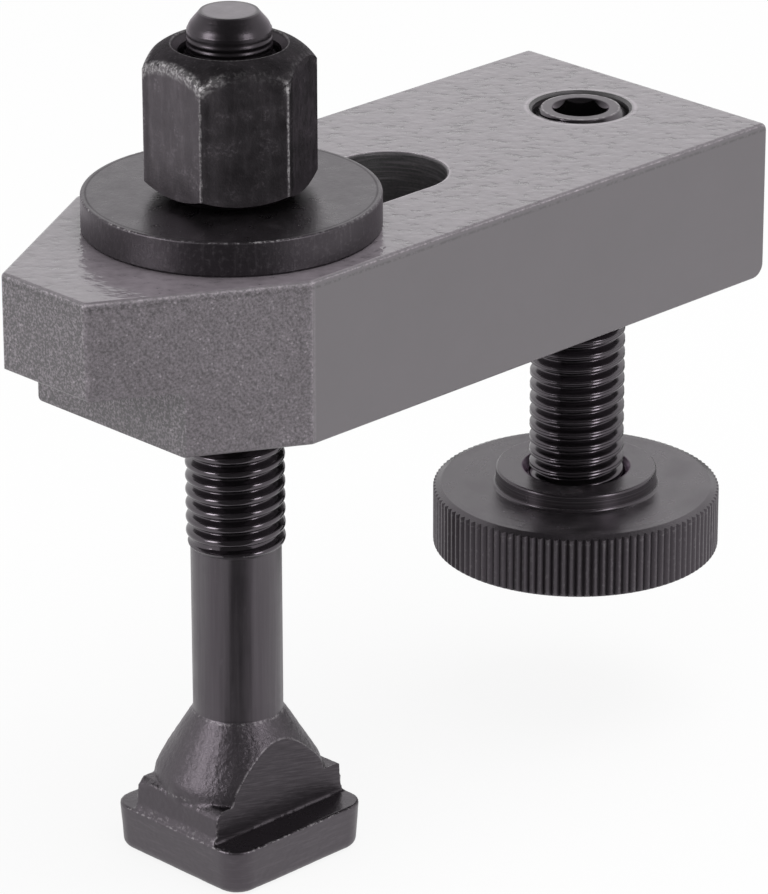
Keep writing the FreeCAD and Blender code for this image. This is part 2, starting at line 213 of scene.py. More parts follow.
class Shader:
    """A material, or the world, while its nodes are being joined."""

    def __init__(self, name: str, kind: str = "materials") -> None:
        """Starts an empty tree in a new material, or in a new piece of another kind of data."""
        self.owner = getattr(bpy.data, kind).new(name)
        self.owner.use_nodes = True
        self.tree = self.owner.node_tree
        self.tree.nodes.clear()

    @cached_property
    def coordinates(self) -> bpy.types.Node:
        """The node that gives Object coordinates and the surface's direction."""
        return self.node("ShaderNodeTexCoord")

    def node(self, kind: str, inputs: Inputs | None = None, **settings: Any) -> bpy.types.Node:
        """Adds any node.

        Args:
            kind: the node's type.
            inputs: values or links of its sockets, by name or number.
            settings: its settings, which are set before its sockets.

        Returns:
            The new node.
        """
        made = self.tree.nodes.new(kind)
        for name, value in settings.items():
            setattr(made, name, value)
        for name, value in (inputs or {}).items():
            if isinstance(value, Value):
                value = value.socket
            if isinstance(value, Socket):
                self.tree.links.new(value, made.inputs[name])
            else:
                made.inputs[name].default_value = value
        return made

    def place(
        self, centre: Triple = (0.0, 0.0, 0.0), turn: Triple = (0.0, 0.0, 0.0),
        scale: Triple = (1.0, 1.0, 1.0),
    ) -> Place:
        """Object coordinates in millimetres.

        Args:
            centre: the point they are counted from, in millimetres.
            turn: how their axes are turned, in degrees about x, y and z.
            scale: how far a pattern is stretched along each of them.

        Returns:
            The place, as a vector and as three numbers.
        """
        inputs = {
            "Vector": self.coordinates.outputs["Object"],
            "Location": [value * MM for value in centre],
            "Rotation": [math.radians(value) for value in turn],
            "Scale": [value * MM for value in scale],
        }
        mapped = self.node("ShaderNodeMapping", inputs, vector_type="TEXTURE").outputs[0]
        return Place(mapped, *self.parts(mapped))

    def parts(self, vector: Socket) -> list[Value]:
        """A vector's three numbers."""
        return [Value(self, output) for output in self.node("ShaderNodeSeparateXYZ", {0: vector}).outputs]

    def facing(self) -> list[Value]:
        """The surface's own direction, as three numbers."""
        return self.parts(self.coordinates.outputs["Normal"])

    def vector(self, x: Number, y: Number, z: Number) -> Socket:
        """A vector or a colour from three numbers."""
        return self.node("ShaderNodeCombineXYZ", {0: x, 1: y, 2: z}).outputs[0]

    def noise(self, where: Inputs, size: float, layers: Layers, dimensions: str = "3D") -> Value:
        """Noise about 0.5, with lumps of a size in millimetres."""
        detail, roughness = layers.value
        inputs = {**where, "Scale": 1.0 / size, "Detail": detail, "Roughness": roughness}
        return Value(self, self.node("ShaderNodeTexNoise", inputs, noise_dimensions=dimensions).outputs[0])

    def grooves(self, distance: Value, width: float) -> Value:
        """Uneven grooves that cross a distance in millimetres, about 0.5, of a mean width."""
        return self.noise({"W": distance}, width, Layers.ROUGH, "1D")

    def blend(self, factor: Number, first: Any, second: Any) -> Socket:
        """Mixes two colours, each of them a socket or three numbers, by a factor."""
        inputs: Inputs = {0: factor}
        for index, colour in ((6, first), (7, second)):
            inputs[index] = (*colour, 1.0) if isinstance(colour, tuple) else colour
        return self.node("ShaderNodeMix", inputs, data_type="RGBA").outputs[2]

    def relief(self, height: Value, depth: float) -> Socket:
        """A relief's normal: heights from 0 to 1, and the depth of a whole step in millimetres."""
        inputs = {"Height": height, "Distance": depth * MM, "Strength": 1.0}
        return self.node("ShaderNodeBump", inputs).outputs[0]

    def end(self, last: bpy.types.Node) -> Any:
        """Ends the tree in this node, and gives the material or world that owns it."""
        kind = "World" if isinstance(self.owner, bpy.types.World) else "Material"
        self.node(f"ShaderNodeOutput{kind}", {"Surface": last.outputs[0]})
        return self.owner

    def surface(self, inputs: Inputs) -> Material:
        """Ends the tree in a Principled shader with these inputs."""
        return self.end(self.node("ShaderNodeBsdfPrincipled", inputs))


class Finish(Protocol):
    """Anything that builds a material."""

    def material(self) -> Material:
        """Builds the material."""


@dataclass(frozen=True)
class BarPaint:
    """Grey paint: glossy and rippled on top, satin on the long sides, grainy on the forged ends; with
    painted light, sheen, highlights and shade.
    """

    name: str = "bar_paint"
    tone: float = 0.145
    # Painted light: the top face gets a lighter tone than the sides, standing in for the stronger light on
    # it
    lit_top_tone: float = 0.185
    lustre: float = 1.85
    top: float = 74.0
    nose: Pair = (-29.3, 7.0)
    shoulder: Pair = (-6.3, 20.0)
    taper_turn: float = 29.4
    slot_x: Pair = (-9.1, 32.6)
    slot_half_width: float = 7.45
    slot_centres: Pair = (-2.0, 25.5)
    screw_x: float = SCREW_X
    screw_radius: float = 6.4

    def material(self) -> Material:
        """Builds the paint."""
        shader = Shader(self.name)
        at = shader.place()
        _, facing_y, facing_z = shader.facing()
        top = facing_z.fade(0.8, 0.97)
        wall = abs(facing_z).fade(0.75, 0.45)
        long_side = abs(facing_y).fade(0.9, 0.98)
        forged = wall * (1.0 - long_side)

        start, end = self.slot_x
        slot = at.x.fade(start - 0.05, start + 0.05) * at.x.fade(end + 0.05, end - 0.05)
        slot *= abs(at.y).fade(self.slot_half_width, self.slot_half_width - 0.1)
        from_screw = shader.place(centre=(self.screw_x, 0.0, 0.0)).radius
        bore = from_screw.fade(self.screw_radius, self.screw_radius - 0.1)
        cut = (slot * abs(facing_z).fade(0.95, 0.6)).larger(bore)

        # A real ripple and its dents in the top's relief, also painted into the top's colour as painted
        # sheen and painted shade
        ripple_and_sheen = shader.place(turn=(0.0, 0.0, -45.0), scale=(1.35, 1.0, 1.0)).noise(1.2, Layers.SOFT)
        dents_and_shade = ripple_and_sheen.fade(0.43, 0.31) * (0.3 + 0.7 * at.x.fade(0.0, 15.0))
        patches = at.noise(9.0)
        grain = at.noise(0.3)
        right, left = (
            shader.place(turn=(0.0, -35.0, turn), scale=(0.5, 0.5, 1.7)).noise(1.0, Layers.SOFT)
            for turn in (-self.taper_turn, self.taper_turn)
        )
        streaks = right * at.y.fade(1.0, -1.0) + left * at.y.fade(-1.0, 1.0)
        # Light specks on the forged faces: painted glints
        glint_specks = at.specks(0.62, 0.3) * at.noise(1.6, Layers.SOFT).fade(0.45, 0.6)
        machining = shader.place(scale=(6.0, 6.0, 0.3)).noise(1.0)
        ragged = at.noise(0.5)

        depth = self.top - at.z
        # Painted highlight along the top edges, and a thin painted dark line of shade just below it on the
        # walls
        rim_shade_line = depth.near(0.85, 0.3) * wall * ragged.fade(0.42, 0.56)
        rim_highlight = depth.near(0.3, 0.35) * ragged.fade(0.42, 0.6)
        # Painted highlights, broken, along the upright corners at the nose and the shoulder
        corner = self.corner(at, self.nose).larger(self.corner(at, self.shoulder))
        corner *= (0.35 + 0.65 * ragged.fade(0.42, 0.6)) * at.z.fade(54.3, 55.0)
        first, last = self.slot_centres
        from_slot = hypot(at.x.smaller(first) - first, at.x.larger(last) - last, at.y)
        # Painted highlight round the rims of the slot and the bore on the top
        lip = from_slot.near(7.3, 0.3).larger(from_screw.near(6.75, 0.35)) * top

        # Painted light on the top: the lighter top tone, painted sheen along the ripple and painted shade
        # in its dents; the patches are random tone
        tone = self.tone + (self.lit_top_tone - self.tone) * top
        tone *= (1.0 + 0.2 * (patches - 0.5) + top * (0.6 * (ripple_and_sheen - 0.5) - 0.12 * dents_and_shade))
        # The forged faces: grain painted lighter and darker, with painted glints in slanted streaks and
        # specks; all of them are lifted a little and the slanted taper faces much more, as painted light
        slanted = abs(facing_y).fade(0.2, 0.5)
        grain_and_glints = (9.5 - 5.7 * slanted) * (grain - 0.5) + 1.1 * (streaks - 0.5) * slanted
        grain_and_glints = (grain_and_glints + 1.4 * glint_specks + 0.06 + 0.32 * slanted).larger(-0.4)
        tone *= (1.0 + forged * grain_and_glints)
        # The painted highlights on the top edges, the corners and the rims lighten the paint; the painted
        # dark line darkens it
        edges = (0.55 - 0.3 * long_side) * rim_highlight + 0.5 * corner + 0.6 * lip
        tone *= (1.0 - 0.45 * rim_shade_line) * (1.0 + edges)
        # Painted shade: the walls of the slot and the bore are painted near black, with lighter machined
        # lines
        tone = tone * (1.0 - 0.9 * cut) + cut * (0.004 + 0.10 * machining.fade(0.42, 0.75))
        tone = tone.larger(0.004)
        colour = shader.vector(tone * 1.04, tone * 0.915, tone * 1.02)
        roughness = 0.36 - 0.22 * top + 0.1 * (patches - 0.5) + forged * 0.16 + cut * 0.12
        height = ripple_and_sheen * (top + 0.03) - 0.4 * dents_and_shade * top
        height += forged * (0.4 * grain + 0.18 * streaks) + cut * 0.25 * machining
        return shader.surface({
            "Base Color": colour, "Roughness": roughness, "IOR": self.lustre,
            "Normal": shader.relief(height, 0.11),
        })

    @staticmethod
    def corner(at: Place, where: Pair) -> Value:
        """1 along the upright corners at this x, and at this y to both sides."""
        return hypot(at.x - where[0], abs(at.y) - where[1]).fade(0.55, 0.15)


@dataclass(frozen=True)
class BlackOxide:
    """Oiled black oxide on steel, and the bare steel where it has worn or chipped off.

    A metallic share above 0 makes the oxide dull where it is seen at a low angle.
    """

    tone: float = 0.010
    roughness: float = 0.36
    lustre: float = 1.7
    mottle: float = 0.5
    mottle_size: float = 3.0
    metallic: float = 0.0
    tint: Triple = (1.0, 0.88, 0.995)
    bare: Triple = (0.55, 0.53, 0.54)

    def finish(
        self, shader: Shader, height: Value, depth: float, worn: Number = 0.0, lighter: Number = 0.0,
        rougher: Number = 0.0, duller: Number = 0.0,
    ) -> Material:
        """Ends a steel piece's material.

        Args:
            shader: the material so far.
            height: the surface's relief, from 0 to 1.
            depth: the relief's depth, in millimetres.
            worn: where bare steel shows.
            lighter: how much lighter than the oxide a place is.
            rougher: how much rougher than the oxide a place is.
            duller: how far a place loses its gloss.

        Returns:
            The material.
        """
        at = shader.place()
        patches = at.noise(self.mottle_size)
        tone = (self.tone * (1.0 + 2.0 * self.mottle * (patches - 0.5)) + lighter).larger(0.002)
        oxide = shader.vector(tone * 1.03, tone * 0.925, tone * 1.015)
        colour = shader.blend(worn, oxide, self.bare)
        roughness = self.roughness + 0.35 * self.mottle * (patches - 0.5) + rougher
        return shader.surface({
            "Base Color": colour,
            "Metallic": (self.metallic * (1.0 - 0.8 * worn) + duller).smaller(1.0),
            "Roughness": roughness,
            "IOR": self.lustre,
            "Specular Tint": (*self.tint, 1.0),
            "Normal": shader.relief(height, depth),
        })


@dataclass(frozen=True)
class BoltSteel:
    """The bolt's finish: cast-like flare, brushed neck, satin shank, glossy thread, ground tip."""

    oxide: BlackOxide = BlackOxide(tone=0.009, roughness=0.32, lustre=1.78, mottle=0.45, mottle_size=2.4)
    name: str = "bolt_steel"
    neck_half_width: float = 7.0
    neck_top: float = 3.9
    neck_end_x: float = -10.1
    flare_top: float = 12.6
    thread_base: float = 33.9
    point_base: float = 95.4
    tip_z: float = 99.9
    tip_radius: float = 3.3

    def material(self) -> Material:
        """Builds the finish."""
        shader = Shader(self.name)
        at = shader.place()
        _, facing_y, facing_z = shader.facing()
        thread = at.z.fade(self.thread_base, self.thread_base + 0.8)
        forged = at.z.fade(self.flare_top + 0.1, self.flare_top - 0.1)
        shank = (1.0 - thread) * (1.0 - forged)
        plate = at.z.fade(0.1, -0.1)
        face = abs(at.y).fade(self.neck_half_width - 0.25, self.neck_half_width - 0.05)
        brushed = face * abs(facing_y).fade(0.85, 0.97) * (1.0 - plate)
        ledge_top = facing_z.fade(0.7, 0.95) * forged
        tip = at.z.fade(self.tip_z - 0.1, self.tip_z)
        point = at.z.fade(self.point_base - 0.2, self.point_base + 0.2)

        grain = at.noise(0.3)
        fine = at.noise(0.45)
        pits = at.noise(1.0)
        strokes = shader.place(turn=(0.0, 13.0, 0.0), scale=(4.0, 1.0, 0.2)).noise(1.0)
        level = shader.place(scale=(3.0, 3.0, 0.35)).noise(1.0)
        upright = shader.place(scale=(0.45, 0.45, 12.0)).noise(1.0, Layers.SOFT)
        stains = shader.place(scale=(1.0, 1.0, 3.0)).noise(1.6)

        cast = forged * (1.0 - brushed) * (1.0 - plate)
        crease = at.z.near(self.flare_top - 0.1, 0.3) * fine.fade(0.46, 0.62) * (1.0 - brushed)
        arch = face * (1.0 - abs(facing_y).fade(0.8, 0.97)) * at.z.fade(3.0, 4.5) * fine.fade(0.4, 0.58)
        edge = at.x.near(self.neck_end_x, 0.3) * at.z.near(self.neck_top - 0.1, 0.35) * fine.fade(0.46, 0.6)
        root = at.x.fade(-10.2, -10.5) * at.z.near(0.35, 0.6) * fine.fade(0.5, 0.64)
        rim = (abs(at.x).larger(abs(at.y))).fade(10.75, 11.0) * at.z.near(-0.15, 0.2) * fine.fade(0.5, 0.62)
        corner = abs(abs(at.x) - 10.3).fade(0.3, 0.05) * abs(abs(at.y) - 7.0).fade(0.22, 0.04)
        corner *= at.z.fade(0.3, 0.9) * fine.fade(0.44, 0.6)
        worn = crease * 0.3 + arch * 0.4 + edge * 0.55 + root * 0.22 + rim * 0.5 + corner * 0.6

        upper = at.z.fade(7.0, 11.5)
        light = cast * (0.012 + 0.03 * upper) * fine.fade(0.5, 0.72)
        light += brushed * strokes.fade(0.5, 0.75) * 0.024
        light += plate * 0.035 * level.fade(0.45, 0.8) + shank * 0.018 * upright.fade(0.35, 0.75)
        # Painted shade: the up-facing forged faces, the plate's top and the ledge, are painted darker,
        # standing in for shade and the neck's dark reflection
        light += shank * 0.025 * stains.fade(0.6, 0.75) + forged * 0.008 * pits - ledge_top * 0.03
        ground = tip * at.radius.fade(self.tip_radius, self.tip_radius - 0.4)
        light += ground * (0.055 + 0.10 * stains)
        rougher = cast * 0.07 + shank * 0.07 + brushed * 0.04 + plate * 0.06 - thread * 0.16 + point * 0.15
        rougher = rougher - ledge_top * 0.1 + shank * 0.12 * (stains - 0.5)
        end_face = at.x.fade(-9.8, -10.1)
        height = cast * (1.0 - 0.7 * end_face) * (1.3 * grain + 0.6 * pits) + brushed * 0.5 * strokes
        height += plate * 0.35 * (level + pits) + shank * (0.10 * upright + 0.06 * grain)
        height += thread * 0.06 * pits + point * (0.3 * pits + 0.5 * level)
        duller = brushed * (0.3 + 0.2 * strokes.fade(0.6, 0.4)) + cast * 0.12 + point * (1.0 - tip) * 0.45
        return self.oxide.finish(shader, height, 0.05, worn.smaller(1.0), light, rougher, duller)


@dataclass(frozen=True)
class WasherSteel:
    """The washer's finish: mottled satin faces, a turned rim and a worn top edge."""

    oxide: BlackOxide = BlackOxide(tone=0.006, roughness=0.31, lustre=1.8, mottle=0.3, mottle_size=2.6)
    name: str = "washer_steel"
    radius: float = 17.5
    top: float = 78.2

    def material(self) -> Material:
        """Builds the finish."""
        shader = Shader(self.name)
        at = shader.place()
        grain = at.noise(0.35)
        fine = at.noise(0.5)
        clouds = at.noise(2.2)
        marks = shader.place(scale=(0.4, 0.4, 3.0)).noise(1.0, Layers.SOFT)
        rim = at.radius.fade(self.radius - 0.25, self.radius - 0.05)
        face = 1.0 - rim
        edge = at.radius.near(self.radius - 0.1, 0.16) * at.z.near(self.top - 0.08, 0.2)
        groove = at.radius.near(self.radius - 0.62, 0.2) * face
        dust = at.specks(1.7, 0.07)
        sparse = at.noise(5.0, Layers.SOFT).fade(0.5, 0.62)
        worn = (edge * fine.fade(0.47, 0.62) * 0.5 * (0.35 + sparse) + dust * 0.3 * face).smaller(1.0)
        light = face * 0.008 * clouds.fade(0.5, 0.75)
        light += rim * (0.03 * fine.fade(0.5, 0.7) + 0.018 * marks.fade(0.5, 0.75)) - groove * 0.01
        rougher = rim * 0.12 + face * 0.3 * (clouds - 0.5) + groove * 0.2
        height = 0.6 * grain + 0.7 * fine + rim * 0.4 * marks
        return self.oxide.finish(shader, height, 0.035, worn, light, rougher, rim * 0.3)


@dataclass(frozen=True)
class NutSteel:
    """The nut's finish: mottled flats, bare steel along worn corners and arcs, and painted light and shade
    on its sides, mouth and crown.
    """

    oxide: BlackOxide = BlackOxide(
        tone=0.042, roughness=0.36, mottle=0.75, mottle_size=2.4, metallic=0.72, tint=(0.34, 0.31, 0.34),
    )
    name: str = "nut_steel"
    half_across_flats: float = 8.9
    flats_turn: float = -2.8
    top: float = 96.2
    crown_start: float = 93.4
    corner_radius: float = 10.18
    mouth_radius: float = 6.78

    def material(self) -> Material:
        """Builds the finish."""
        shader = Shader(self.name)
        at = shader.place(turn=(0.0, 0.0, self.flats_turn))
        *_, facing_z = shader.facing()
        sixth = math.pi / 3
        angle = at.angle - (at.angle / sixth).math("ROUND") * sixth
        across = at.radius * angle.math("SINE")
        out = at.radius * angle.math("COSINE")
        flat = abs(facing_z).fade(0.3, 0.1) * at.radius.fade(8.0, 8.6)
        crown = facing_z.fade(0.15, 0.35) * at.z.fade(self.crown_start - 0.5, self.crown_start)

        grain = at.noise(0.3)
        fine = at.noise(0.42)
        ragged = at.noise(0.9)
        blotches = at.noise(2.4)
        streaks = shader.place(scale=(1.1, 1.1, 4.5)).noise(1.0)

        slope = (self.top - self.crown_start) / (self.corner_radius - self.mouth_radius)
        arc = at.z - (self.crown_start + 0.25 + slope * (self.corner_radius - at.radius))
        arc_band = flat * arc.fade(-1.0, -0.1)
        lip = crown * out.fade(self.half_across_flats - 0.8, self.half_across_flats - 0.1)
        corner = (abs(across) + 0.5 * (ragged - 0.5)).fade(4.88, 5.06) * at.radius.fade(8.0, 9.0)
        beside = across.near(-4.3, 0.8) * flat * at.z.fade(79.5, 82.0)
        mouth = at.radius.near(self.mouth_radius, 0.2) * at.z.fade(self.top - 0.35, self.top - 0.05)
        inside = at.radius.fade(self.mouth_radius - 0.1, self.mouth_radius - 0.3)
        inside *= at.z.fade(self.top - 1.6, self.top - 1.2)
        shoulder = flat * at.z.fade(82.5, 79.5)

        left = at.x.fade(-5.5, -8.0)
        tips = abs(across).fade(4.2, 5.0) * at.z.near(self.crown_start - 0.2, 1.1)
        chips = corner * (0.2 + 0.8 * fine.fade(0.42, 0.58)) * at.z.fade(79.6, 80.6)
        arcs = arc_band.larger(lip) * (0.25 + 0.75 * fine.fade(0.46, 0.58))
        # The bare arcs show mostly on the nut's left: partly wear, partly painted highlight
        arcs *= ragged.fade(0.32, 0.52) * (0.1 + 0.9 * left)
        worn = chips * 0.55 + arcs * 0.8 + tips * fine.fade(0.42, 0.56) * 0.5
        worn = (worn + mouth * (0.3 + 0.7 * fine.fade(0.4, 0.55)) * 0.35).smaller(1.0)
        spots = blotches.fade(0.5, 0.72)
        # Painted light and shade: the nut's left is painted lighter, the right of its flats darker, the
        # inside of its mouth lighter and its crown darker; the streaks and spots are random tone
        light = 0.03 * streaks.fade(0.45, 0.75) + 0.10 * spots * fine.fade(0.45, 0.7) + 0.04 * left
        light = flat * (light + 0.012) - flat * 0.02 * at.x.fade(-0.5, 0.3) + inside * 0.05
        light = light - beside * 0.03 + shoulder * 0.02
        light += crown * 0.03 * fine.fade(0.55, 0.72) - crown * 0.012
        rougher = flat * 0.02 + crown * 0.1 + 0.12 * (grain - 0.5)
        height = 0.7 * grain + 0.7 * ragged + flat * 0.2 * streaks
        return self.oxide.finish(shader, height, 0.04, worn, light, rougher)


@dataclass(frozen=True)
class ScrewSteel:
    """The support screw's finish: glossy rolled thread, satin ends and socket."""

    oxide: BlackOxide = BlackOxide(tone=0.009, roughness=0.2, lustre=1.78, mottle=0.3, mottle_size=2.0)
    name: str = "screw_steel"
    axis_x: float = SCREW_X
    top: float = 74.0
    mouth_radius: float = 3.58

    def material(self) -> Material:
        """Builds the finish."""
        shader = Shader(self.name)
        at = shader.place(centre=(self.axis_x, 0.0, 0.0))
        grain = at.noise(0.3)
        ragged = at.noise(0.9)
        end = at.z.fade(self.top - 0.15, self.top - 0.02)
        turned = shader.grooves(at.radius, 0.16)
        socket = at.radius.fade(self.mouth_radius + 0.05, self.mouth_radius - 0.05)
        socket *= at.z.fade(self.top - 0.02, self.top - 0.1)
        light = end * (1.0 - socket) * 0.05
        worn = end * at.radius.near(4.75, 0.2) * ragged.fade(0.4, 0.6) * 0.5
        height = 0.15 * ragged + end * (0.3 * turned + 0.3 * grain)
        return self.oxide.finish(shader, height, 0.04, worn, light, end * 0.18, socket * 0.55)


@dataclass(frozen=True)
class FootSteel:
    """The foot's finish: fine turned rings on its faces, streaks round its collar, worn knurls; painted
    sheen on its face, and painted highlight and shade on its knurl and bore.
    """

    oxide: BlackOxide = BlackOxide(tone=0.008, roughness=0.24, mottle=0.35, mottle_size=4.0)
    name: str = "foot_steel"
    axis_x: float = SCREW_X
    radius: float = 18.0
    face_z: float = 24.1
    bevel: float = 0.9

    def material(self) -> Material:
        """Builds the finish."""
        shader = Shader(self.name)
        at = shader.place(centre=(self.axis_x, 0.0, 0.0))
        *_, facing_z = shader.facing()
        flat = facing_z.fade(0.85, 0.97)
        side = abs(facing_z).fade(0.4, 0.1)
        knurl = side * at.radius.fade(self.radius - 0.8, self.radius - 0.5)
        collar = side * at.z.fade(self.face_z - 0.1, self.face_z + 0.3)

        rings = shader.grooves(at.radius, 0.2)
        hoops = shader.grooves(at.z, 0.2)
        fan = shader.vector(at.radius * 0.25, at.angle * 2.2, 0.0)
        # Sweeps round the turned face: random roughness and gloss, and in the colour painted sheen
        sweeps_and_sheen = shader.noise({"Vector": fan}, 1.0, Layers.SOFT)
        fine = at.noise(0.5)
        grain = at.noise(0.3)
        crest = knurl * at.radius.fade(self.radius - 0.2, self.radius - 0.04)
        groove = knurl * at.radius.fade(self.radius - 0.2, self.radius - 0.38)
        edge = at.radius.near(self.radius - 0.1, 0.3) * at.z.near(self.face_z - self.bevel, 0.25)
        worn = (crest * fine.fade(0.5, 0.75) * 0.14 + edge * fine.fade(0.48, 0.62) * 0.16).smaller(1.0)
        bore = at.radius.fade(6.95, 6.75) * at.z.fade(19.0, 19.5)
        # Painted highlight on the knurl's crests and painted sheen on the face, besides the crests' wear
        light = crest * 0.028 + flat * (0.018 + 0.03 * sweeps_and_sheen.fade(0.4, 0.65))
        # Painted shade in the knurl's grooves and in the bore round the screw; the collar's streaks are its
        # own
        light += collar * 0.085 * hoops.fade(0.4, 0.75) - groove * 0.006 - bore * 0.02
        rougher = knurl * 0.14 + collar * 0.05 + flat * 0.3 * (sweeps_and_sheen - 0.5)
        height = flat * 0.8 * rings + collar * 0.7 * hoops + knurl * 0.25 * grain
        duller = bore + flat * 0.15 * sweeps_and_sheen.fade(0.5, 0.34)
        return self.oxide.finish(shader, height, 0.03, worn, light, rougher, duller)


def deselect() -> None:
    """Leaves nothing selected and no object in edit mode."""
    if bpy.context.object and bpy.context.object.mode != "OBJECT":
        bpy.ops.object.mode_set(mode="OBJECT")
    bpy.ops.object.select_all(action="DESELECT")


def pick(*pieces: Piece) -> None:
    """Selects these pieces alone, the first of them active."""
    deselect()
    for piece in pieces:
        piece.select_set(True)
    bpy.context.view_layer.objects.active = pieces[0]


def apply(piece: Piece, kind: str, **settings: Any) -> None:
    """Adds a modifier with these settings to a piece, and applies it."""
    pick(piece)
    modifier = piece.modifiers.new(kind.lower(), kind)
    for name, value in settings.items():
        setattr(modifier, name, value)
    bpy.ops.object.modifier_apply(modifier=modifier.name)


@contextmanager
def editing(kind: str = "VERT", action: str = "SELECT") -> Iterator[None]:
    """Holds the active piece in edit mode, at first with everything or nothing selected."""
    bpy.ops.object.mode_set(mode="EDIT")
    bpy.ops.mesh.select_mode(type=kind)
    bpy.ops.mesh.select_all(action=action)
    yield
    bpy.ops.object.mode_set(mode="OBJECT")


def placed(name: str, data: Any) -> Piece:
    """A new object in the scene, with this name and this mesh, lamp or camera."""
    made = bpy.data.objects.new(name, data)
    bpy.context.scene.collection.objects.link(made)
    return made


def copied(piece: Piece, name: str) -> Piece:
    """A copy of a piece under a new name, with a mesh of its own."""
    made = piece.copy()
    made.data = piece.data.copy()
    made.name = name
    made.data.name = name
    bpy.context.scene.collection.objects.link(made)
    return made


def merged_copy(node: Piece, name: str) -> Piece:
    """A copy of a CAD node with its loose triangles joined up.

    Args:
        node: the CAD node, which stays as it is.
        name: the new piece's name.

    Returns:
        The new piece, riding on nothing yet.
    """
    piece = copied(node, name)
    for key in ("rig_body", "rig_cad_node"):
        if key in piece:
            del piece[key]
    piece.parent = None
    piece.data.materials.clear()
    pick(piece)
    if piece.data.has_custom_normals:
        bpy.ops.mesh.customdata_custom_splitnormals_clear()
    with editing():
        bpy.ops.mesh.remove_doubles(threshold=WELD)
    return piece


def cut_level(piece: Piece, height: float, keep: Keep, fill: bool = False) -> None:
    """Cuts a piece level.

    Args:
        piece: the piece.
        height: the cut's height, in millimetres.
        keep: what stays of the piece. Where both sides stay, the cut is a ring of edges.
        fill: whether the cut is closed.
    """
    pick(piece)
    with editing():
        bpy.ops.mesh.bisect(
            plane_co=(0, 0, height * MM), plane_no=UP, use_fill=fill,
            clear_inner=keep is Keep.ABOVE, clear_outer=keep is Keep.BELOW, threshold=CUT_REACH,
        )


def delete_faces(piece: Piece, chosen: Callable[[bpy.types.MeshPolygon], bool]) -> None:
    """Deletes the faces that pass a test."""
    pick(piece)
    bpy.ops.object.mode_set(mode="EDIT")
    bpy.ops.mesh.select_mode(type="FACE")
    bpy.ops.mesh.select_all(action="DESELECT")
    bpy.ops.object.mode_set(mode="OBJECT")
    for face in piece.data.polygons:
        face.select = chosen(face)
    bpy.ops.object.mode_set(mode="EDIT")
    bpy.ops.mesh.delete(type="FACE")
    bpy.ops.object.mode_set(mode="OBJECT")


def bridge(pieces: list[Piece], rims: list[float]) -> None:
    """Joins open pieces into the first, and bridges their facing rims.

    Args:
        pieces: the pieces, each with a round rim at every height where it is joined.
        rims: the rims' heights, in millimetres.
    """
    pick(*pieces)
    bpy.ops.object.join()
    piece = pieces[0]
    for rim in rims:
        with editing("EDGE", "DESELECT"):
            bpy.ops.mesh.select_non_manifold(
                extend=False, use_wire=False, use_boundary=True, use_multi_face=False,
                use_non_contiguous=False, use_verts=False,
            )
        heights = [vertex.co.z / MM for vertex in piece.data.vertices]
        for edge in piece.data.edges:
            if edge.select:
                edge.select = all(abs(heights[index] - rim) < 1.5 * GAP for index in edge.vertices)
        bpy.ops.object.mode_set(mode="EDIT")
        bpy.ops.mesh.bridge_edge_loops()
        bpy.ops.object.mode_set(mode="OBJECT")
    with editing():
        bpy.ops.mesh.normals_make_consistent(inside=False)


def dress(piece: Piece, body: str, node: str, finish: Finish) -> None:
    """Shades a rebuilt piece, gives it its finish, says what it rides on, and hides the CAD node it stands
    for.
    """
    pick(piece)
    bpy.ops.object.shade_smooth_by_angle(angle=SMOOTH_ANGLE)
    piece.data.materials.append(finish.material())
    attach(piece, body)
    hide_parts(node)


